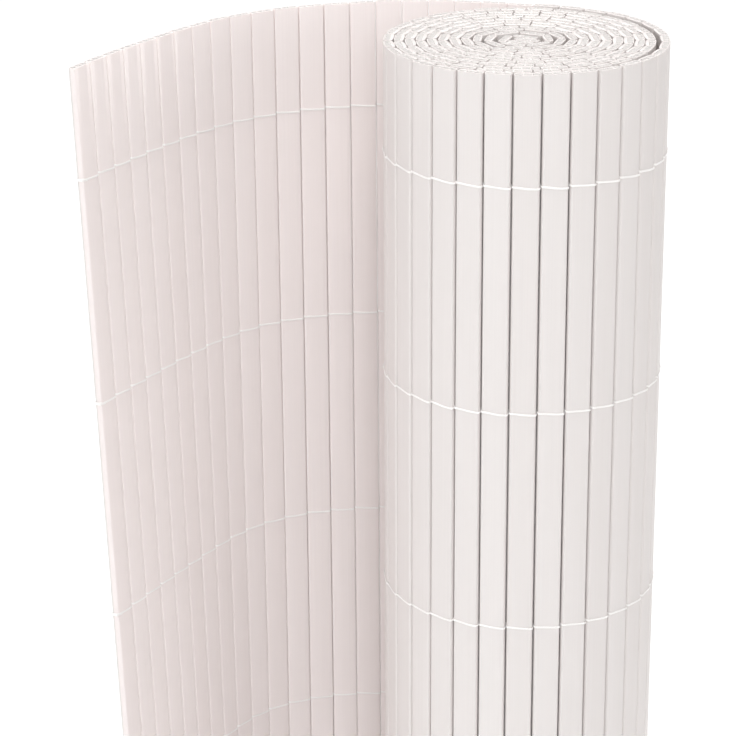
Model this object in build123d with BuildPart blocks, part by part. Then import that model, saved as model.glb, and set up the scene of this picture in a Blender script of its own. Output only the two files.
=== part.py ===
from build123d import *
import math
import os

# Rolled privacy screen: hollow flat slats laced side by side with rows of
# twined thread, wound into a standing roll, the outer end left as an open leaf.
# Millimetres. Z is up along the slats, the floor is Z = 0.

# ---- slat ----
slat_height = 900.0      # length of every slat, the height of the screen
slat_width = 12.8        # across the visible face
slat_thick = 3.95        # front face to back face at the middle
face_half = 5.6          # half width of the faintly crowned face
edge_half = 1.78         # half thickness where the face meets the rounded edge
wall = 0.45              # skin of the hollow section
web_at = 2.1             # the two inner webs stand this far from the middle
slat_gap = 0.6           # clear space between neighbouring slats

# ---- lacing thread ----
row_count = 8            # rows of lacing up the height
row_spacing = 112.5
first_row_down = 54.0    # first row below the top ends
thread_thick = 0.3       # flat-lying yarn, through the thickness
thread_tall = 0.9        # and up the slat
strand_offset = 0.5      # the two strands of a row lie this far above and below it
thread_clear = 0.03      # between yarn and slat face
thread_reach = 6.5       # half length of the straight run on a face

# ---- roll ----
roll_slats = 205         # slats from the core to where the leaf starts
core_fold = [(-3.259, 4.743, -175.4), (-1.274, -4.897, 185.2)]   # two slats folded flat inside the first turn:
                         # middle along and across the next slat, and heading from it in degrees
outer_slats = 15         # of these, the loosened outer stretch from the front to the back
core_radius = 6.2        # inner radius of the first turn, to the slat middle
front_radius = 66.2      # roll radius at the front, to the slat joints
leave_at = (9.8, 70.8)   # joint where the leaf leaves the roll
front_angle = -84.9      # direction of the front joint where the outer stretch starts

# ---- leaf, one direction per slat in degrees from straight left, at top and at floor ----
leaf_top = [-17.1, -14.2, -10.7, -6.1, -0.7, 5.0, 10.3, 15.1, 19.8, 25.2, 32.1,
            39.7, 46.3, 50.5, 53.4, 55.6, 57.4, 58.4, 59.2, 60.0, 60.8]
leaf_floor = [-19.7, -18.3, -16.7, -14.9, -12.8, -10.0, -5.6, 1.4, 11.8, 25.0, 39.9,
              54.9, 68.1, 73.2, 73.7, 72.5, 70.7, 68.7, 67.2, 66.0, 65.1]
twist_step = 2.0         # degrees of twist in each straight length of a leaf slat
leaf_fan = 0.1           # joints stand this much wider at the top, narrower at the floor

pitch = slat_width + slat_gap
edge_sag = slat_width / 2 - face_half
edge_round = (edge_half ** 2 + edge_sag ** 2) / (2 * edge_sag)
edge_centre = slat_width / 2 - edge_round
half_link = slat_width / 2 + slat_gap / 2 - edge_centre
env_half = slat_thick / 2 + thread_clear + thread_thick + 0.02
thread_v = slat_thick / 2 + thread_clear + thread_thick / 2
hug_radius = 30.0        # on tighter turns than this the yarn follows the slat edges closely
hug = (edge_round + thread_clear + thread_thick / 2) / math.cos(0.3)


def local(x, y, a, u, v):
    return (x + u * math.cos(a) - v * math.sin(a), y + u * math.sin(a) + v * math.cos(a))


def chord(radius):
    """Joint-to-joint length of a slat on a turn of this joint radius."""
    half = math.asin(min(0.95, pitch / (2 * radius)))
    return pitch + 2 * half_link * (1 / math.cos(half) - 1)


def wind(ease):
    """Joints of the wound turns, core outwards, counter-clockwise."""
    steps = 720

    def outward(r):
        hugged = slat_width / 2 - 0.4
        mitred = thread_reach + thread_v * pitch / 2 / r + 0.2
        corner = hugged + (mitred - hugged) * min(1.0, max(0.0, (r - hug_radius + 8) / 4))
        return r + ease * (env_half + math.hypot(r + env_half, corner) - r)

    grow = outward(core_radius) - core_radius
    table = [core_radius + grow * k / steps for k in range(steps)]

    def joint_radius(phi):
        k = phi / (2 * math.pi) * steps
        i = int(k)
        while i + 1 >= len(table):
            table.append(outward(table[len(table) - steps]))
        return math.hypot(table[i] + (table[i + 1] - table[i]) * (k - i), pitch / 2)

    phi = 0.0
    r = joint_radius(phi)
    joints = [(r, 0.0)]
    while len(joints) <= roll_slats - len(core_fold) - outer_slats:
        r0, a0 = joints[-1]
        want = chord(r0) + (0.6 if len(joints) < 3 else 0.0)
        low, high = a0, a0 + 2.4
        for _ in range(48):
            mid = (low + high) / 2
            r = joint_radius(mid)
            d = math.hypot(r * math.cos(mid) - r0 * math.cos(a0), r * math.sin(mid) - r0 * math.sin(a0))
            if d < want:
                low = mid
            else:
                high = mid
        joints.append((joint_radius(mid), mid))
    return joints


def roll_joints():
    low, high = 0.95, 1.10
    for _ in range(30):
        ease = (low + high) / 2
        joints = wind(ease)
        if joints[-1][0] < front_radius:
            low = ease
        else:
            high = ease
    turn = math.radians(front_angle) - joints[-1][1]
    points = [(r * math.cos(a + turn), r * math.sin(a + turn)) for r, a in joints]

    # loosened outer stretch: radius swells from the front joint to the leaving joint
    end_r = math.hypot(*leave_at)
    end_a = math.degrees(math.atan2(leave_at[1], leave_at[0]))

    def stretch(power):
        out = [points[-1]]
        a = front_angle
        for _ in range(outer_slats):
            x0, y0 = out[-1]
            lo, hi = a, a + 25.0
            for _ in range(48):
                mid = (lo + hi) / 2
                f = max(0.0, (mid - front_angle) / (end_a - front_angle))
                r = front_radius + (end_r - front_radius) * f ** power
                x, y = r * math.cos(math.radians(mid)), r * math.sin(math.radians(mid))
                if math.hypot(x - x0, y - y0) < pitch:
                    lo = mid
                else:
                    hi = mid
            a = mid
            out.append((x, y))
        return out, a

    lo, hi = 0.3, 3.0
    for _ in range(40):
        power = (lo + hi) / 2
        out, a = stretch(power)
        if a < end_a:
            lo = power
        else:
            hi = power
    return points + out[1:]


def leaf_joints(start, directions, step):
    pts = [start]
    for d in directions:
        x, y = pts[-1]
        pts.append((x - step * math.cos(math.radians(d)), y - step * math.sin(math.radians(d))))
    return pts


def as_slats(pts):
    """Middle point and heading of the slat between each two joints."""
    out = []
    last = None
    for (x0, y0), (x1, y1) in zip(pts, pts[1:]):
        a = math.atan2(y1 - y0, x1 - x0)
        if last is not None:
            while a - last > math.pi:
                a -= 2 * math.pi
            while a - last < -math.pi:
                a += 2 * math.pi
        last = a
        out.append(((x0 + x1) / 2, (y0 + y1) / 2, a))
    return out


def with_core(slats):
    out = list(slats)
    for u, v, heading in core_fold:
        x, y, a = out[0]
        out.insert(0, (*local(x, y, a, u, v), a + math.radians(heading)))
    return out


joints = roll_joints()
top_slats = with_core(as_slats(joints + leaf_joints(joints[-1], leaf_top, pitch + leaf_fan)[1:]))
floor_slats = with_core(as_slats(joints + leaf_joints(joints[-1], leaf_floor, pitch - leaf_fan)[1:]))
slat_count = len(top_slats)


def section(z):
    """Every slat's middle and heading at height z."""
    f = z / slat_height
    return [tuple(p + (q - p) * f for p, q in zip(b, t)) for b, t in zip(floor_slats, top_slats)]


def round_edge(slat, end, side, other):
    """Yarn points round a slat's edge, from the face on this side to the gap beside the other slat."""
    x, y, a = slat
    cx, cy = local(x, y, a, end * edge_centre, 0)
    ox, oy = local(*other, -end * edge_centre, 0)
    ex, ey = end * math.cos(a), end * math.sin(a)
    nx, ny = -math.sin(a), math.cos(a)
    gap = math.atan2((ox - cx) * nx + (oy - cy) * ny, (ox - cx) * ex + (oy - cy) * ey)
    middle = ((cx + ox) / 2, (cy + oy) / 2)
    if gap * side > 0.7:
        return [local(x, y, a, end * (edge_centre + half_link * math.cos(gap) - 0.6), side * thread_v)], middle
    steps = max(1, math.ceil(abs(gap - side * 0.95) / 0.6))
    out = []
    for k in range(steps):
        t = side * 0.95 + (gap - side * 0.95) * k / steps
        out.append((cx + hug * (ex * math.cos(t) + nx * math.sin(t)),
                    cy + hug * (ey * math.cos(t) + ny * math.sin(t))))
    return out, middle


def run_ends(slats, side):
    """Corner points of one strand, side +1 or -1 on the first slat and swapping at each."""
    pts = []
    for i, (x, y, a) in enumerate(slats):
        v = side * thread_v
        before = a - slats[i - 1][2] if i > 0 else 0.0
        after = slats[i + 1][2] - a if i + 1 < len(slats) else 0.0
        if i == 0:
            pts.append(local(x, y, a, -4.5, v))
        elif abs(before) > pitch / hug_radius:
            pts += round_edge(slats[i], -1, side, slats[i - 1])[0][::-1]
        else:
            pts.append(local(x, y, a, v * math.tan(before / 2) - thread_reach, v))
        if i + 1 == len(slats):
            beyond = slat_width / 2 + 0.34
            pts += [local(x, y, a, beyond, v), local(x, y, a, beyond, -v), local(x, y, a, 3.0, -v)]
        elif abs(after) > pitch / hug_radius:
            bend, gap = round_edge(slats[i], 1, side, slats[i + 1])
            pts += bend + [gap]
        else:
            pts.append(local(x, y, a, thread_reach - v * math.tan(after / 2), v))
        side = -side
    return pts


def ribbon(pts, half):
    """Closed outline of a strand of this half thickness along a run of points."""
    left, right = [], []
    n = len(pts)
    for i in range(n):
        p = pts[i]
        d0 = direction(pts[i - 1], p) if i > 0 else direction(p, pts[1])
        d1 = direction(p, pts[i + 1]) if i + 1 < n else d0
        mx, my = -(d0[1] + d1[1]), d0[0] + d1[0]
        m = math.hypot(mx, my)
        mx, my = mx / m, my / m
        k = half / max(0.35, mx * -d0[1] + my * d0[0])
        left.append((p[0] + mx * k, p[1] + my * k))
        right.append((p[0] - mx * k, p[1] - my * k))
    return left + right[::-1]


def direction(p, q):
    d = math.hypot(q[0] - p[0], q[1] - p[1])
    return ((q[0] - p[0]) / d, (q[1] - p[1]) / d)


row_heights = [slat_height - first_row_down - row_spacing * k for k in range(row_count)]
strands = {}
for k, z in enumerate(row_heights):
    slats_here = section(z)
    for name, side, shift in (("a", 1, strand_offset), ("b", -1, -strand_offset)):
        strands[(k + 1, name)] = (z + shift, ribbon(run_ends(slats_here, side), thread_thick / 2))

# the origin is under the middle of the whole object
xs, ys = [], []
for z, outline in strands.values():
    xs += [p[0] for p in outline]
    ys += [p[1] for p in outline]
for group in (top_slats, floor_slats):
    for x, y, a in group:
        for u in (-edge_centre, edge_centre):
            px, py = local(x, y, a, u, 0)
            xs += [px - edge_round, px + edge_round]
            ys += [py - edge_round, py + edge_round]
mid_x = (min(xs) + max(xs)) / 2
mid_y = (min(ys) + max(ys)) / 2


def place(slat):
    return Location((slat[0] - mid_x, slat[1] - mid_y, 0), (0, 0, math.degrees(slat[2])))


# ---- slat section: skin outline and its three chambers ----
inner_half = edge_half - wall
crown_half = slat_thick / 2 - wall
web = wall / 2

with BuildSketch() as skin:
    with BuildLine():
        ThreePointArc((-face_half, edge_half), (0, slat_thick / 2), (face_half, edge_half))
        ThreePointArc((face_half, edge_half), (slat_width / 2, 0), (face_half, -edge_half))
        ThreePointArc((face_half, -edge_half), (0, -slat_thick / 2), (-face_half, -edge_half))
        ThreePointArc((-face_half, -edge_half), (-slat_width / 2, 0), (-face_half, edge_half))
    make_face()

# the same outline with its faces and edges in strips, for slats that twist
crown = (face_half ** 2 + (slat_thick / 2 - edge_half) ** 2) / (slat_thick - 2 * edge_half)


def on_face(u):
    return (u, slat_thick / 2 - crown + math.sqrt(crown ** 2 - u * u))


edge_turn = math.asin(edge_half / edge_round)


def on_edge(t):
    return (edge_centre + edge_round * math.cos(t), edge_round * math.sin(t))


strips = [face_half * k / 4 for k in range(-4, 5)]
bends = [edge_turn * (1 - k / 2) for k in range(5)]
with BuildSketch() as skin_strips:
    with BuildLine():
        for u0, u1 in zip(strips, strips[1:]):
            ThreePointArc(on_face(u0), on_face((u0 + u1) / 2), on_face(u1))
        for t0, t1 in zip(bends, bends[1:]):
            ThreePointArc(on_edge(t0), on_edge((t0 + t1) / 2), on_edge(t1))
        for u0, u1 in zip(strips, strips[1:]):
            (a0, b0), (am, bm), (a1, b1) = on_face(-u0), on_face(-(u0 + u1) / 2), on_face(-u1)
            ThreePointArc((a0, -b0), (am, -bm), (a1, -b1))
        for t0, t1 in zip(bends, bends[1:]):
            (a0, b0), (am, bm), (a1, b1) = on_edge(t0), on_edge((t0 + t1) / 2), on_edge(t1)
            ThreePointArc((-a0, -b0), (-am, -bm), (-a1, -b1))
    make_face()

with BuildSketch() as chamber_mid:
    Rectangle(2 * (web_at - web), 2 * (crown_half - 0.04))

chamber_sides = []
for sign in (-1, 1):
    with BuildSketch() as chamber_side:
        with BuildLine():
            Line((sign * (web_at + web), -crown_half + 0.05), (sign * (web_at + web), crown_half - 0.05))
            Line((sign * (web_at + web), crown_half - 0.05), (sign * (face_half - 0.25), inner_half))
            ThreePointArc((sign * (face_half - 0.25), inner_half), (sign * (slat_width / 2 - wall), 0),
                          (sign * (face_half - 0.25), -inner_half))
            Line((sign * (face_half - 0.25), -inner_half), (sign * (web_at + web), -crown_half + 0.05))
        make_face()
    chamber_sides.append(chamber_side)

with BuildSketch() as slat_section:
    add(skin.sketch)
    add(chamber_mid.sketch, mode=Mode.SUBTRACT)
    add(chamber_sides[0].sketch, mode=Mode.SUBTRACT)
    add(chamber_sides[1].sketch, mode=Mode.SUBTRACT)

os.makedirs("parts", exist_ok=True)

# ---- wound turns, numbered from the core; each is a run of separate slats ----
wound = top_slats[:roll_slats]
turn_of = [int((wound[-1][2] - s[2]) / (2 * math.pi)) for s in wound]
turn_count = max(turn_of) + 1
for number in range(1, turn_count + 1):
    members = [s for s, t in zip(wound, turn_of) if t == turn_count - number]
    with BuildPart() as roll_turn:
        with BuildSketch(Plane.XY):
            with Locations(*[place(s) for s in members]):
                add(slat_section.sketch)
        extrude(amount=slat_height)
    roll_turn.part.label = f"roll_turn_{number:02d}"
    export_step(roll_turn.part, f"parts/roll_turn_{number:02d}.step")
    print("roll_turn", number, len(members), len(roll_turn.part.solids()))

# ---- leaf slats, numbered from the roll to the free end; they lean and twist a little ----
for number in range(1, slat_count - roll_slats + 1):
    at = roll_slats + number - 1
    twist = math.degrees(abs(top_slats[at][2] - floor_slats[at][2]))
    steps = max(1, math.ceil(twist / twist_step))
    levels = [slat_height * k / steps for k in range(steps + 1)]
    with BuildPart() as leaf_slat:
        for outline, how in ((skin_strips, Mode.ADD), (chamber_mid, Mode.SUBTRACT),
                             (chamber_sides[0], Mode.SUBTRACT), (chamber_sides[1], Mode.SUBTRACT)):
            for z in levels:
                with BuildSketch(Plane.XY.offset(z)):
                    with Locations(place(section(z)[at])):
                        add(outline.sketch)
            loft(ruled=True, mode=how)
    leaf_slat.part.label = f"leaf_slat_{number:02d}"
    export_step(leaf_slat.part, f"parts/leaf_slat_{number:02d}.step")
    print("leaf_slat", number, len(leaf_slat.part.solids()), steps)

# ---- lacing: two strands in each row, crossing in every gap ----
for (row, name), (z, outline) in strands.items():
    with BuildPart() as thread:
        with BuildSketch(Plane.XY.offset(z - thread_tall / 2)):
            with BuildLine():
                Polyline(*[(x - mid_x, y - mid_y) for x, y in outline], close=True)
            make_face()
        extrude(amount=thread_tall)
    thread.part.label = f"thread_row_{row}_strand_{name}"
    export_step(thread.part, f"parts/thread_row_{row}_strand_{name}.step", write_pcurves=False)

print("slats", slat_count, "turns", turn_count, "mid", round(mid_x, 3), round(mid_y, 3))
print("size", round(max(xs) - min(xs), 2), round(max(ys) - min(ys), 2))
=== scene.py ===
import math
import random

import bpy
from mathutils import Matrix, Vector
from mathutils.geometry import tessellate_polygon


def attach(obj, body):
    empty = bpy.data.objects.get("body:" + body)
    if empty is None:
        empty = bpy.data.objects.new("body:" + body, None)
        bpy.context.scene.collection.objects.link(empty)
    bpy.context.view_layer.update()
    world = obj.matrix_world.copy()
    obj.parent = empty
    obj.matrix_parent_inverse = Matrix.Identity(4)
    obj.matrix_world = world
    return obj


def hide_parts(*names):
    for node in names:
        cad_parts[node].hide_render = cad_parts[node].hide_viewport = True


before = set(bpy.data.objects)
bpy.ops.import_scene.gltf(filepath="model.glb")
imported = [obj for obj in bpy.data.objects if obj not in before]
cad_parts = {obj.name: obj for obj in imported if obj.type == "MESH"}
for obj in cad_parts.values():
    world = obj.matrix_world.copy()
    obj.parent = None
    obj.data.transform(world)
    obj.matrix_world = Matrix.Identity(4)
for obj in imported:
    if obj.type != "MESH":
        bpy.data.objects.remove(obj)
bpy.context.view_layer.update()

random.seed(20)

# ---------------------------------------------------------------- sizes, mm
slat_height = 900.0
slat_width = 12.8
slat_thick = 3.95
face_half = 5.6
edge_half = 1.78
wall = 0.45
web_at = 2.1
slat_gap = 0.6
row_count = 8
row_spacing = 112.5
first_row_down = 54.0
thread_thick = 0.3
thread_tall = 0.9
strand_offset = 0.5
thread_clear = 0.03
thread_reach = 6.5
roll_slats = 205
core_fold = [(-3.259, 4.743, -175.4), (-1.274, -4.897, 185.2)]
outer_slats = 15
core_radius = 6.2
front_radius = 66.2
leave_at = (9.8, 70.8)
front_angle = -84.9
leaf_top = [-17.1, -14.2, -10.7, -6.1, -0.7, 5.0, 10.3, 15.1, 19.8, 25.2, 32.1,
            39.7, 46.3, 50.5, 53.4, 55.6, 57.4, 58.4, 59.2, 60.0, 60.8]
leaf_floor = [-19.7, -18.3, -16.7, -14.9, -12.8, -10.0, -5.6, 1.4, 11.8, 25.0, 39.9,
              54.9, 68.1, 73.2, 73.7, 72.5, 70.7, 68.7, 67.2, 66.0, 65.1]
leaf_fan = 0.1
mid_x, mid_y = -70.409, 13.661

pitch = slat_width + slat_gap
edge_sag = slat_width / 2 - face_half
edge_round = (edge_half ** 2 + edge_sag ** 2) / (2 * edge_sag)
edge_centre = slat_width / 2 - edge_round
half_link = slat_width / 2 + slat_gap / 2 - edge_centre
env_half = slat_thick / 2 + thread_clear + thread_thick + 0.02
thread_v = slat_thick / 2 + thread_clear + thread_thick / 2
hug_radius = 30.0


# ---------------------------------------------------------------- layout
def local(slat, u, v):
    x, y, a = slat
    return (x + u * math.cos(a) - v * math.sin(a), y + u * math.sin(a) + v * math.cos(a))


def chord(radius):
    half = math.asin(min(0.95, pitch / (2 * radius)))
    return pitch + 2 * half_link * (1 / math.cos(half) - 1)


def wind(ease):
    steps = 720

    def outward(r):
        hugged = slat_width / 2 - 0.4
        mitred = thread_reach + thread_v * pitch / 2 / r + 0.2
        corner = hugged + (mitred - hugged) * min(1.0, max(0.0, (r - hug_radius + 8) / 4))
        return r + ease * (env_half + math.hypot(r + env_half, corner) - r)

    grow = outward(core_radius) - core_radius
    table = [core_radius + grow * k / steps for k in range(steps)]

    def joint_radius(phi):
        k = phi / (2 * math.pi) * steps
        i = int(k)
        while i + 1 >= len(table):
            table.append(outward(table[len(table) - steps]))
        return math.hypot(table[i] + (table[i + 1] - table[i]) * (k - i), pitch / 2)

    r = joint_radius(0.0)
    out = [(r, 0.0)]
    while len(out) <= roll_slats - len(core_fold) - outer_slats:
        r0, a0 = out[-1]
        want = chord(r0) + (0.6 if len(out) < 3 else 0.0)
        low, high = a0, a0 + 2.4
        for _ in range(48):
            mid = (low + high) / 2
            r = joint_radius(mid)
            d = math.hypot(r * math.cos(mid) - r0 * math.cos(a0), r * math.sin(mid) - r0 * math.sin(a0))
            if d < want:
                low = mid
            else:
                high = mid
        out.append((joint_radius(mid), mid))
    return out


def roll_joints():
    low, high = 0.95, 1.10
    for _ in range(30):
        ease = (low + high) / 2
        polar = wind(ease)
        if polar[-1][0] < front_radius:
            low = ease
        else:
            high = ease
    turn = math.radians(front_angle) - polar[-1][1]
    points = [(r * math.cos(a + turn), r * math.sin(a + turn)) for r, a in polar]
    end_r = math.hypot(*leave_at)
    end_a = math.degrees(math.atan2(leave_at[1], leave_at[0]))

    def stretch(power):
        out = [points[-1]]
        a = front_angle
        for _ in range(outer_slats):
            x0, y0 = out[-1]
            lo, hi = a, a + 25.0
            for _ in range(48):
                mid = (lo + hi) / 2
                f = max(0.0, (mid - front_angle) / (end_a - front_angle))
                r = front_radius + (end_r - front_radius) * f ** power
                x, y = r * math.cos(math.radians(mid)), r * math.sin(math.radians(mid))
                if math.hypot(x - x0, y - y0) < pitch:
                    lo = mid
                else:
                    hi = mid
            a = mid
            out.append((x, y))
        return out, a

    lo, hi = 0.3, 3.0
    for _ in range(40):
        power = (lo + hi) / 2
        out, a = stretch(power)
        if a < end_a:
            lo = power
        else:
            hi = power
    return points + out[1:]


def leaf_joints(start, directions, step):
    pts = [start]
    for d in directions:
        x, y = pts[-1]
        pts.append((x - step * math.cos(math.radians(d)), y - step * math.sin(math.radians(d))))
    return pts


def as_slats(pts):
    out = []
    last = None
    for (x0, y0), (x1, y1) in zip(pts, pts[1:]):
        a = math.atan2(y1 - y0, x1 - x0)
        if last is not None:
            while a - last > math.pi:
                a -= 2 * math.pi
            while a - last < -math.pi:
                a += 2 * math.pi
        last = a
        out.append(((x0 + x1) / 2 - mid_x, (y0 + y1) / 2 - mid_y, a))
    return out


def with_core(slats):
    out = list(slats)
    for u, v, heading in core_fold:
        out.insert(0, (*local(out[0], u, v), out[0][2] + math.radians(heading)))
    return out


joints = roll_joints()
top_slats = with_core(as_slats(joints + leaf_joints(joints[-1], leaf_top, pitch + leaf_fan)[1:]))
floor_slats = with_core(as_slats(joints + leaf_joints(joints[-1], leaf_floor, pitch - leaf_fan)[1:]))
slat_count = len(top_slats)
turn_of = [int((top_slats[roll_slats - 1][2] - s[2]) / (2 * math.pi)) for s in top_slats[:roll_slats]]
turn_count = max(turn_of) + 1


def at_height(i, z):
    f = z / slat_height
    return tuple(p + (q - p) * f for p, q in zip(floor_slats[i], top_slats[i]))


# ---------------------------------------------------------------- slat section
def arc(p0, p1, p2, n):
    (ax, ay), (bx, by), (cx, cy) = p0, p1, p2
    d = 2 * (ax * (by - cy) + bx * (cy - ay) + cx * (ay - by))
    ux = ((ax * ax + ay * ay) * (by - cy) + (bx * bx + by * by) * (cy - ay) + (cx * cx + cy * cy) * (ay - by)) / d
    uy = ((ax * ax + ay * ay) * (cx - bx) + (bx * bx + by * by) * (ax - cx) + (cx * cx + cy * cy) * (bx - ax)) / d
    r = math.hypot(ax - ux, ay - uy)
    a0, a1, a2 = (math.atan2(y - uy, x - ux) for x, y in (p0, p1, p2))
    while a1 - a0 > math.pi:
        a1 -= 2 * math.pi
    while a1 - a0 < -math.pi:
        a1 += 2 * math.pi
    while a2 - a1 > math.pi:
        a2 -= 2 * math.pi
    while a2 - a1 < -math.pi:
        a2 += 2 * math.pi
    return [(ux + r * math.cos(a0 + (a2 - a0) * k / n), uy + r * math.sin(a0 + (a2 - a0) * k / n)) for k in range(n)]


def soften(ring, k):
    """Corner cutting, only where the ring turns sharply."""
    out = []
    n = len(ring)
    for i in range(n):
        p, c, q = ring[i - 1], ring[i], ring[(i + 1) % n]
        a = math.atan2(c[1] - p[1], c[0] - p[0])
        b = math.atan2(q[1] - c[1], q[0] - c[0])
        t = abs((b - a + math.pi) % (2 * math.pi) - math.pi)
        if t > math.radians(14):
            out.append((c[0] + (p[0] - c[0]) * k, c[1] + (p[1] - c[1]) * k))
            out.append((c[0] + (q[0] - c[0]) * k, c[1] + (q[1] - c[1]) * k))
        else:
            out.append(c)
    return out


half_w, half_t = slat_width / 2, slat_thick / 2
skin = (arc((face_half, -edge_half), (half_w, 0), (face_half, edge_half), 8)
        + arc((face_half, edge_half), (0, half_t), (-face_half, edge_half), 12)
        + arc((-face_half, edge_half), (-half_w, 0), (-face_half, -edge_half), 8)
        + arc((-face_half, -edge_half), (0, -half_t), (face_half, -edge_half), 12))
skin = soften(skin, 0.35)
inner_half, crown_half, web = edge_half - wall, half_t - wall, wall / 2
mid_room = [(web_at - web, -crown_half + 0.04), (web_at - web, crown_half - 0.04),
            (-web_at + web, crown_half - 0.04), (-web_at + web, -crown_half + 0.04)]
side_room = ([(web_at + web, crown_half - 0.05), (web_at + web, -crown_half + 0.05)]
             + arc((face_half - 0.25, -inner_half), (half_w - wall, 0), (face_half - 0.25, inner_half), 6)
             + [(face_half - 0.25, inner_half)])
rings = [skin, soften(mid_room, 0.12), soften(side_room, 0.06),
         soften([(-x, -y) for x, y in side_room], 0.06)]
cut = 0.13                     # softened arris round the sawn ends
skin_cap = [(x * (1 - cut / half_w), y * (1 - cut / half_t)) for x, y in skin]
cap_rings = [skin_cap] + rings[1:]
cap_tris = tessellate_polygon([[Vector((x, y, 0)) for x, y in r] for r in cap_rings])
perimeter = []
for r in rings:
    run, acc = 0.0, [0.0]
    for p, q in zip(r, r[1:]):
        run += math.hypot(q[0] - p[0], q[1] - p[1])
        acc.append(run)
    perimeter.append(acc)


class Build:
    """Collects vertices, faces and a texture position for one mesh."""

    def __init__(self):
        self.v, self.f, self.t = [], [], []
        self.inside, self.rear = set(), set()

    def ring(self, pts, tex):
        base = len(self.v)
        self.v += pts
        self.t += tex
        return base

    def skin(self, a, b, n, flip=False):
        for k in range(n):
            j = (k + 1) % n
            self.f.append((a + j, a + k, b + k, b + j) if flip else (a + k, a + j, b + j, b + k))

    def mesh(self, name):
        m = bpy.data.meshes.new(name)
        m.from_pydata([(x / 1000, y / 1000, z / 1000) for x, y, z in self.v], [], self.f)
        layer = m.attributes.new("grain", "FLOAT_VECTOR", "POINT")
        layer.data.foreach_set("vector", [c for t in self.t for c in t])
        m.update()
        return m


def widen(u, extra):
    """Flat face carried nearer to the edge, and the edge out by this much."""
    if not extra:
        return u
    flat = 6.2
    d = abs(u)
    d = d * flat / face_half if d <= face_half else flat + (d - face_half) * (half_w + extra - flat) / (half_w - face_half)
    return math.copysign(d, u)


def add_slat(b, i, levels, drop, swell=0.0, grow=(0.0, 0.0)):
    """One hollow slat. drop: how far its sawn top sits under the full height. swell: how far the
    inner face stands out at the sawn top. grow: extra width at its two edges."""
    tag = 3.7 * i
    high = slat_height - drop
    zs = [(0.0, 0.0), (0.16, 0.0)] + [(high * k / levels, 0.0) for k in range(1, levels)]
    if swell:
        zs += [(high - 9.0, 0.0), (high - 7.5, swell * 0.3), (high - 6.0, swell)]
    zs += [(high - 0.16, swell), (high, swell)]
    bases = []
    for n, (z, out) in enumerate(zs):
        s = at_height(i, z)
        ends = n in (0, len(zs) - 1)
        shape = skin_cap if ends else skin
        bases.append(b.ring([(*local(s, widen(u, grow[u > 0]), v + out * max(0.0, v) / half_t), z)
                             for u, v in shape],
                            [(p, z, tag) for p in perimeter[0]]))
    for lo, hi in zip(bases, bases[1:]):
        first_face = len(b.f)
        b.skin(lo, hi, len(skin))
        b.rear.update(first_face + k for k in range(len(skin)) if skin[k][1] + skin[(k + 1) % len(skin)][1] < -1.0)
    inner = []
    for r, per in zip(rings[1:], perimeter[1:]):
        row = []
        for k in range(levels + 1):
            z = high * k / levels
            s = at_height(i, z)
            row.append(b.ring([(*local(s, u, v), z) for u, v in r], [(p + 40, z, tag) for p in per]))
        for lo, hi in zip(row, row[1:]):
            first_face = len(b.f)
            b.skin(lo, hi, len(r), flip=False)
            b.inside.update(range(first_face, len(b.f)))
        inner.append(row)
    index_top, index_low = [], []
    for k, r in enumerate(cap_rings):
        top = bases[-1] if k == 0 else inner[k - 1][-1]
        low = bases[0] if k == 0 else inner[k - 1][0]
        index_top += [top + j for j in range(len(r))]
        index_low += [low + j for j in range(len(r))]
    for t in cap_tris:
        b.f.append(tuple(index_top[j] for j in t))
        b.f.append(tuple(index_low[j] for j in reversed(t)))


# orientation: outer ring runs counter-clockwise, the rooms clockwise
def area(r):
    return sum(r[k][0] * r[(k + 1) % len(r)][1] - r[(k + 1) % len(r)][0] * r[k][1] for k in range(len(r))) / 2


for k in range(1, 4):
    if area(rings[k]) > 0:
        rings[k] = rings[k][::-1]
cap_rings = [skin_cap] + rings[1:]
cap_tris = tessellate_polygon([[Vector((x, y, 0)) for x, y in r] for r in cap_rings])
flat = [p for r in cap_rings for p in r]
fixed = []
for t in cap_tris:
    (x0, y0), (x1, y1), (x2, y2) = (flat[j] for j in t)
    up = (x1 - x0) * (y2 - y0) - (x2 - x0) * (y1 - y0)
    fixed.append(tuple(t) if up > 0 else tuple(reversed(t)))
cap_tris = fixed


# ---------------------------------------------------------------- materials
def new_material(name):
    m = bpy.data.materials.new(name)
    m.use_nodes = True
    n, l = m.node_tree.nodes, m.node_tree.links
    return m, n, l, n["Principled BSDF"]


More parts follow.
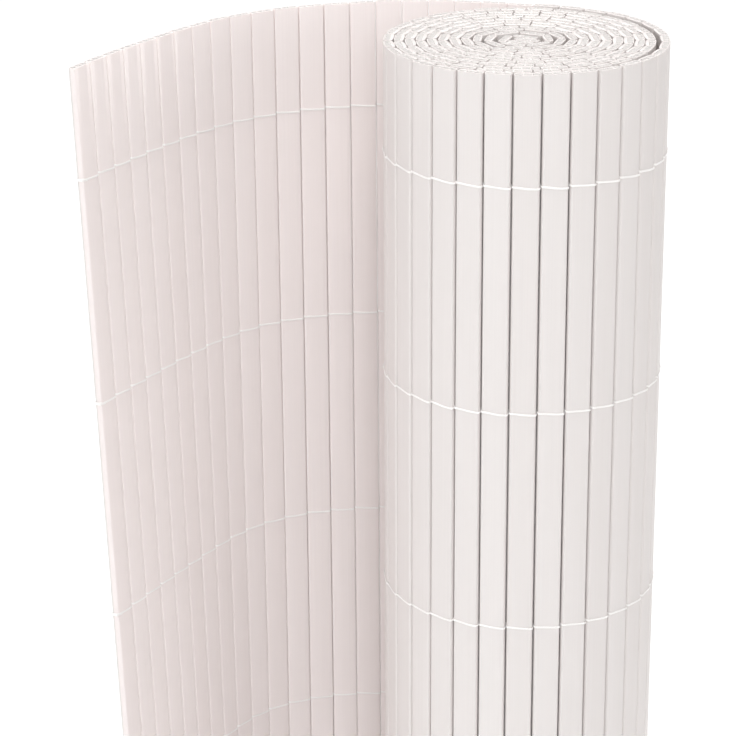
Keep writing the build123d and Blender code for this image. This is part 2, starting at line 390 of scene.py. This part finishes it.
def pvc(name, dull, clear):
    m, n, l, p = new_material(name)
    p.inputs["Roughness"].default_value = 0.4
    p.inputs["IOR"].default_value = 1.5
    grain = n.new("ShaderNodeAttribute")
    grain.attribute_name = "grain"
    # one small tint step per slat
    tag = n.new("ShaderNodeSeparateXYZ")
    l.new(grain.outputs["Vector"], tag.inputs[0])
    step = n.new("ShaderNodeTexWhiteNoise")
    step.noise_dimensions = "1D"
    l.new(tag.outputs["Z"], step.inputs["W"])
    # long extrusion streaks
    stretch = n.new("ShaderNodeMapping")
    stretch.inputs["Scale"].default_value = (1.6, 0.006, 1.0)
    l.new(grain.outputs["Vector"], stretch.inputs["Vector"])
    streak = n.new("ShaderNodeTexNoise")
    streak.inputs["Scale"].default_value = 1.0
    streak.inputs["Detail"].default_value = 4.0
    l.new(stretch.outputs[0], streak.inputs["Vector"])
    # soft cloudiness
    cloud = n.new("ShaderNodeTexNoise")
    cloud.inputs["Scale"].default_value = 0.03
    cloud.inputs["Detail"].default_value = 2.0
    l.new(grain.outputs["Vector"], cloud.inputs["Vector"])
    mix1 = n.new("ShaderNodeMix")
    mix1.data_type = "RGBA"
    mix1.inputs["A"].default_value = (*dull, 1)
    mix1.inputs["B"].default_value = (*clear, 1)
    l.new(step.outputs["Value"], mix1.inputs["Factor"])
    mix2 = n.new("ShaderNodeMix")
    mix2.data_type = "RGBA"
    mix2.blend_type = "MULTIPLY"
    ramp = n.new("ShaderNodeValToRGB")
    ramp.color_ramp.elements[0].position = 0.3
    ramp.color_ramp.elements[0].color = (0.965, 0.960, 0.958, 1)
    ramp.color_ramp.elements[1].position = 0.7
    ramp.color_ramp.elements[1].color = (1, 1, 1, 1)
    l.new(streak.outputs["Fac"], ramp.inputs["Fac"])
    mix2.inputs["Factor"].default_value = 0.6
    l.new(mix1.outputs["Result"], mix2.inputs["A"])
    l.new(ramp.outputs["Color"], mix2.inputs["B"])
    l.new(mix2.outputs["Result"], p.inputs["Base Color"])
    rough = n.new("ShaderNodeMapRange")
    rough.inputs["To Min"].default_value = 0.34
    rough.inputs["To Max"].default_value = 0.48
    l.new(cloud.outputs["Fac"], rough.inputs["Value"])
    l.new(rough.outputs["Result"], p.inputs["Roughness"])
    bump = n.new("ShaderNodeBump")
    bump.inputs["Strength"].default_value = 0.12
    bump.inputs["Distance"].default_value = 0.00012
    l.new(streak.outputs["Fac"], bump.inputs["Height"])
    l.new(bump.outputs["Normal"], p.inputs["Normal"])
    return m


def yarn():
    m, n, l, p = new_material("yarn_white")
    p.inputs["Roughness"].default_value = 0.55
    p.inputs["Sheen Weight"].default_value = 0.6
    p.inputs["Sheen Roughness"].default_value = 0.5
    grain = n.new("ShaderNodeAttribute")
    grain.attribute_name = "grain"
    twist = n.new("ShaderNodeTexWave")
    twist.wave_type = "BANDS"
    twist.bands_direction = "DIAGONAL"
    twist.inputs["Scale"].default_value = 0.55
    twist.inputs["Distortion"].default_value = 0.8
    l.new(grain.outputs["Vector"], twist.inputs["Vector"])
    ramp = n.new("ShaderNodeValToRGB")
    ramp.color_ramp.elements[0].color = (0.950, 0.920, 0.905, 1)
    ramp.color_ramp.elements[1].color = (0.990, 0.968, 0.957, 1)
    l.new(twist.outputs["Fac"], ramp.inputs["Fac"])
    l.new(ramp.outputs["Color"], p.inputs["Base Color"])
    bump = n.new("ShaderNodeBump")
    bump.inputs["Strength"].default_value = 0.5
    bump.inputs["Distance"].default_value = 0.0001
    l.new(twist.outputs["Fac"], bump.inputs["Height"])
    l.new(bump.outputs["Normal"], p.inputs["Normal"])
    return m


pvc_white = pvc("pvc_white", (0.768, 0.723, 0.708), (0.786, 0.745, 0.732))
# painted light: the leaf's PVC is the roll's PVC painted lighter and warmer, standing in for the dimmer light and warm
# bounce shade in the leaf's hollow
pvc_leaf_painted_lit = pvc("pvc_leaf_painted_lit", (0.900, 0.826, 0.812), (0.916, 0.846, 0.834))
# painted light: the chamber walls get a paler copy of the PVC, standing in for light that lifts the shade in the
# hollow chambers
pvc_inside_painted_lit = pvc("pvc_inside_painted_lit", (0.945, 0.915, 0.900), (0.960, 0.935, 0.922))
yarn_white = yarn()


def put(b, name, material, node, angle=38, behind=None):
    mesh = b.mesh(name)
    mesh.materials.append(material)
    # chamber walls take the paler copy with painted light
    if b.inside:
        mesh.materials.append(pvc_inside_painted_lit)
    if behind:
        mesh.materials.append(behind)
    for poly in mesh.polygons:
        poly.use_smooth = True
        if poly.index in b.inside:
            poly.material_index = 1
        elif behind and poly.index in b.rear:
            poly.material_index = 2
    mesh.set_sharp_from_angle(angle=math.radians(angle))
    o = bpy.data.objects.new(name, mesh)
    bpy.context.scene.collection.objects.link(o)
    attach(o, "root")
    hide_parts(node)
    return o


# ---------------------------------------------------------------- slats
def room(i):
    """Clear space between a wound slat's inner face and the turn inside it."""
    x, y, a = top_slats[i]
    best = 9.0
    for j in range(max(0, i - 40), i - 1):
        for u, v in skin:
            if v > 0:
                continue
            px, py = local(top_slats[j], u, v)
            along = (px - x) * math.cos(a) + (py - y) * math.sin(a)
            across = (py - y) * math.cos(a) - (px - x) * math.sin(a)
            if abs(along) < half_w and across > 0:
                best = min(best, across - half_t)
    return best


def swelling(i):
    if i < 3:
        return 0.0
    most = 0.3 if i < 30 else 0.6 if i >= roll_slats - outer_slats else 1.3
    return max(0.0, min(most, room(i) - random.uniform(0.1, 0.2)))


for number in range(1, turn_count + 1):
    b = Build()
    for i in range(roll_slats):
        if turn_of[i] == turn_count - number:
            add_slat(b, i, 1, random.uniform(0.0, 0.4), swell=swelling(i))
    put(b, f"turn_{number:02d}", pvc_white, f"roll_turn_{number:02d}")
for number in range(1, slat_count - roll_slats + 1):
    b = Build()
    add_slat(b, roll_slats + number - 1, 18, random.uniform(0.0, 0.5),
             grow=(0.2, 0.0 if number == slat_count - roll_slats else 0.2))
    # the leaf slats' inner faces carry the painted lighter, warmer PVC; their rear faces keep the roll's PVC
    put(b, f"leaf_{number:02d}", pvc_leaf_painted_lit, f"leaf_slat_{number:02d}", behind=pvc_white)


# ---------------------------------------------------------------- lacing
def smooth_path(pts, counts):
    out = []
    n = len(pts)
    for i in range(n - 1):
        p0, p1, p2, p3 = pts[max(0, i - 1)], pts[i], pts[i + 1], pts[min(n - 1, i + 2)]
        for k in range(counts[i]):
            t = k / counts[i]
            a, b, c, d = p0[2], p1[2], p2[2], p3[2]
            z = 0.5 * (2 * b + (c - a) * t + (2 * a - 5 * b + 4 * c - d) * t * t + (3 * b - a - 3 * c + d) * t ** 3)
            out.append((p1[0] + (p2[0] - p1[0]) * t, p1[1] + (p2[1] - p1[1]) * t, z))
    out.append(pts[-1])
    return out


def add_tube(b, path, sides, thick, tall, tag):
    n = len(path)
    run = 0.0
    last = None
    for i in range(n):
        p = path[i]
        q0, q1 = path[max(0, i - 1)], path[min(n - 1, i + 1)]
        tx, ty = q1[0] - q0[0], q1[1] - q0[1]
        d = math.hypot(tx, ty) or 1.0
        nx, ny = -ty / d, tx / d
        if i:
            run += math.dist(p, path[i - 1])
        s = sides
        pts, tex = [], []
        for k in range(s):
            a = 2 * math.pi * k / s
            c, h = math.cos(a) * thick / 2, math.sin(a) * tall / 2
            pts.append((p[0] + nx * c, p[1] + ny * c, p[2] + h))
            tex.append((run, k * 2.4 / s, tag))
        base = b.ring(pts, tex)
        if last is not None:
            b.skin(last, base, s, flip=True)
        else:
            b.f.append(tuple(base + k for k in range(s)))
        last = base
    b.f.append(tuple(reversed([last + k for k in range(sides)])))


def strand(row_z, side, tag):
    """Runs of one strand of a row: a hidden stretch and a fine outer stretch."""
    slats = [at_height(i, row_z) for i in range(slat_count)]
    fine_from = roll_slats - 62
    pts, counts = [], []

    def put_point(xy, z, count):
        pts.append((xy[0], xy[1], z))
        counts.append(count)

    for i, s in enumerate(slats):
        fine = i >= fine_from
        c = 3 if fine else 1
        lean = random.uniform(0.5, 0.8) if fine else 0.5
        sag = random.uniform(0.0, 0.35) if fine else 0.0
        # inner side (v > 0) and outer side each slope the way a twined pair does
        first, last = (0.5, -0.5) if side < 0 else (-0.5, 0.5)
        v = side * thread_v
        if i > 0:
            a, e = local(slats[i - 1], edge_centre, 0), local(s, -edge_centre, 0)
            put_point(((a[0] + e[0]) / 2, (a[1] + e[1]) / 2), row_z + first, c)
        k = 1 if v > 0 else -1
        if fine:
            put_point(local(s, -6.35, k * thread_v * 0.80), row_z + first * 0.9, 1)
            put_point(local(s, -6.0, k * thread_v * 0.95), row_z + first * lean * 1.3, 1)
        put_point(local(s, -5.4, k * thread_v), row_z + first * lean * 1.2, c)
        if fine:
            put_point(local(s, -2.7, k * thread_v), row_z + first * lean * 0.7 - sag * 0.5, c)
        put_point(local(s, 0.0, k * thread_v), row_z - sag, c)
        if fine:
            put_point(local(s, 2.7, k * thread_v), row_z + last * lean * 0.7 - sag, c)
        put_point(local(s, 5.4, k * thread_v), row_z + last * lean * 1.2 - sag * 0.4, 1)
        if fine:
            put_point(local(s, 6.0, k * thread_v * 0.95), row_z + last * lean * 1.3 - sag * 0.2, 1)
            put_point(local(s, 6.35, k * thread_v * 0.80), row_z + last * 0.9, 1)
        if i + 1 == len(slats):
            put_point(local(s, half_w + 0.34, v * 0.7), row_z + last * 0.6, c)
            put_point(local(s, half_w + 0.34, -v * 0.7), row_z + last * 0.4, c)
            put_point(local(s, 3.0, -v), row_z + last * 0.9, c)
        side = -side
    return smooth_path(pts, counts)


for row in range(1, row_count + 1):
    z = slat_height - first_row_down - row_spacing * (row - 1)
    for name, side in (("a", 1), ("b", -1)):
        b = Build()
        add_tube(b, strand(z, side, row), 8, thread_thick, thread_tall + 0.15, row * 5.0 + side)
        put(b, f"lacing_{row}{name}", yarn_white, f"thread_row_{row}_strand_{name}", 60)

# ---------------------------------------------------------------- stage
mesh = bpy.data.meshes.new("floor")
mesh.from_pydata([(-60, -60, 0), (60, -60, 0), (60, 60, 0), (-60, 60, 0)], [], [(0, 1, 2, 3)])
floor = bpy.data.objects.new("floor", mesh)
bpy.context.scene.collection.objects.link(floor)
m, n, l, p = new_material("floor_pale")
p.inputs["Base Color"].default_value = (0.86, 0.86, 0.86, 1)
p.inputs["Roughness"].default_value = 0.8
p.inputs["Emission Color"].default_value = (1, 1, 1, 1)
p.inputs["Emission Strength"].default_value = 0.14
mesh.materials.append(m)

world = bpy.data.worlds.new("soft_room")
bpy.context.scene.world = world
world.use_nodes = True
n, l = world.node_tree.nodes, world.node_tree.links
n["Background"].inputs["Color"].default_value = (1.0, 0.985, 0.975, 1)


def node(kind, **values):
    made = n.new(kind)
    for key, value in values.items():
        if hasattr(made, key):
            setattr(made, key, value)
        else:
            made.inputs[key.replace("_", " ")].default_value = value
    return made


# paler round the horizon, palest to the left and right, dimmer overhead
way = node("ShaderNodeTexCoord")
axes = node("ShaderNodeSeparateXYZ")
l.new(way.outputs["Generated"], axes.inputs[0])
band = node("ShaderNodeMapRange", interpolation_type="SMOOTHSTEP", From_Min=0.0, From_Max=0.55, To_Min=1.0, To_Max=0.0)
l.new(axes.outputs["Z"], band.inputs["Value"])
sideways = node("ShaderNodeMath", operation="ABSOLUTE")
l.new(axes.outputs["X"], sideways.inputs[0])
flank = node("ShaderNodeMapRange", interpolation_type="SMOOTHSTEP", From_Min=0.35, From_Max=1.0, To_Min=0.42, To_Max=1.65)
l.new(sideways.outputs[0], flank.inputs["Value"])
glow = node("ShaderNodeMath", operation="MULTIPLY")
l.new(band.outputs["Result"], glow.inputs[0])
l.new(flank.outputs["Result"], glow.inputs[1])
level = node("ShaderNodeMath", operation="ADD")
level.inputs[1].default_value = 0.28
l.new(glow.outputs[0], level.inputs[0])
l.new(level.outputs[0], n["Background"].inputs["Strength"])


def area_light(name, loc, target, size, power, colour):
    light = bpy.data.lights.new(name, "AREA")
    light.shape = "DISK"
    light.size = size
    light.energy = power
    light.color = colour
    o = bpy.data.objects.new(name, light)
    o.location = loc
    o.rotation_euler = (Vector(target) - Vector(loc)).to_track_quat("-Z", "Y").to_euler()
    bpy.context.scene.collection.objects.link(o)
    return o


area_light("front", (0.1, -2.5, 1.9), (0.0, 0, 0.6), 1.2, 21.5, (0.955, 1.0, 1.012))
area_light("side", (-2.2, -1.7, 1.5), (0.05, 0, 0.6), 1.4, 9.5, (0.955, 1.0, 1.02))
area_light("top", (0.05, -0.6, 3.0), (0.05, 0, 0.9), 1.6, 24, (1.0, 0.96, 0.94))
area_light("back", (0.0, 2.7, 3.4), (0.0, 2.6, 0.0), 4.0, 118, (1.0, 1.0, 1.0))

# ---------------------------------------------------------------- camera
cam = bpy.data.cameras.new("camera")
cam.sensor_width = 36.0
cam.lens = 137.92
eye = bpy.data.objects.new("camera", cam)
down, roll = math.radians(20.591), math.radians(-0.321)
right, up = Vector((1, 0, 0)), Vector((0, math.sin(down), math.cos(down)))
ahead = Vector((0, math.cos(down), -math.sin(down)))
right2 = right * math.cos(roll) + up * math.sin(roll)
up2 = up * math.cos(roll) - right * math.sin(roll)
place = Vector(((-74.5 - mid_x) / 1000, (-1317.2 - mid_y) / 1000, 1.2271))
eye.matrix_world = Matrix((
    (right2.x, up2.x, -ahead.x, place.x),
    (right2.y, up2.y, -ahead.y, place.y),
    (right2.z, up2.z, -ahead.z, place.z),
    (0, 0, 0, 1)))
bpy.context.scene.collection.objects.link(eye)
bpy.context.scene.camera = eye
bpy.context.scene.view_settings.view_transform = "Standard"
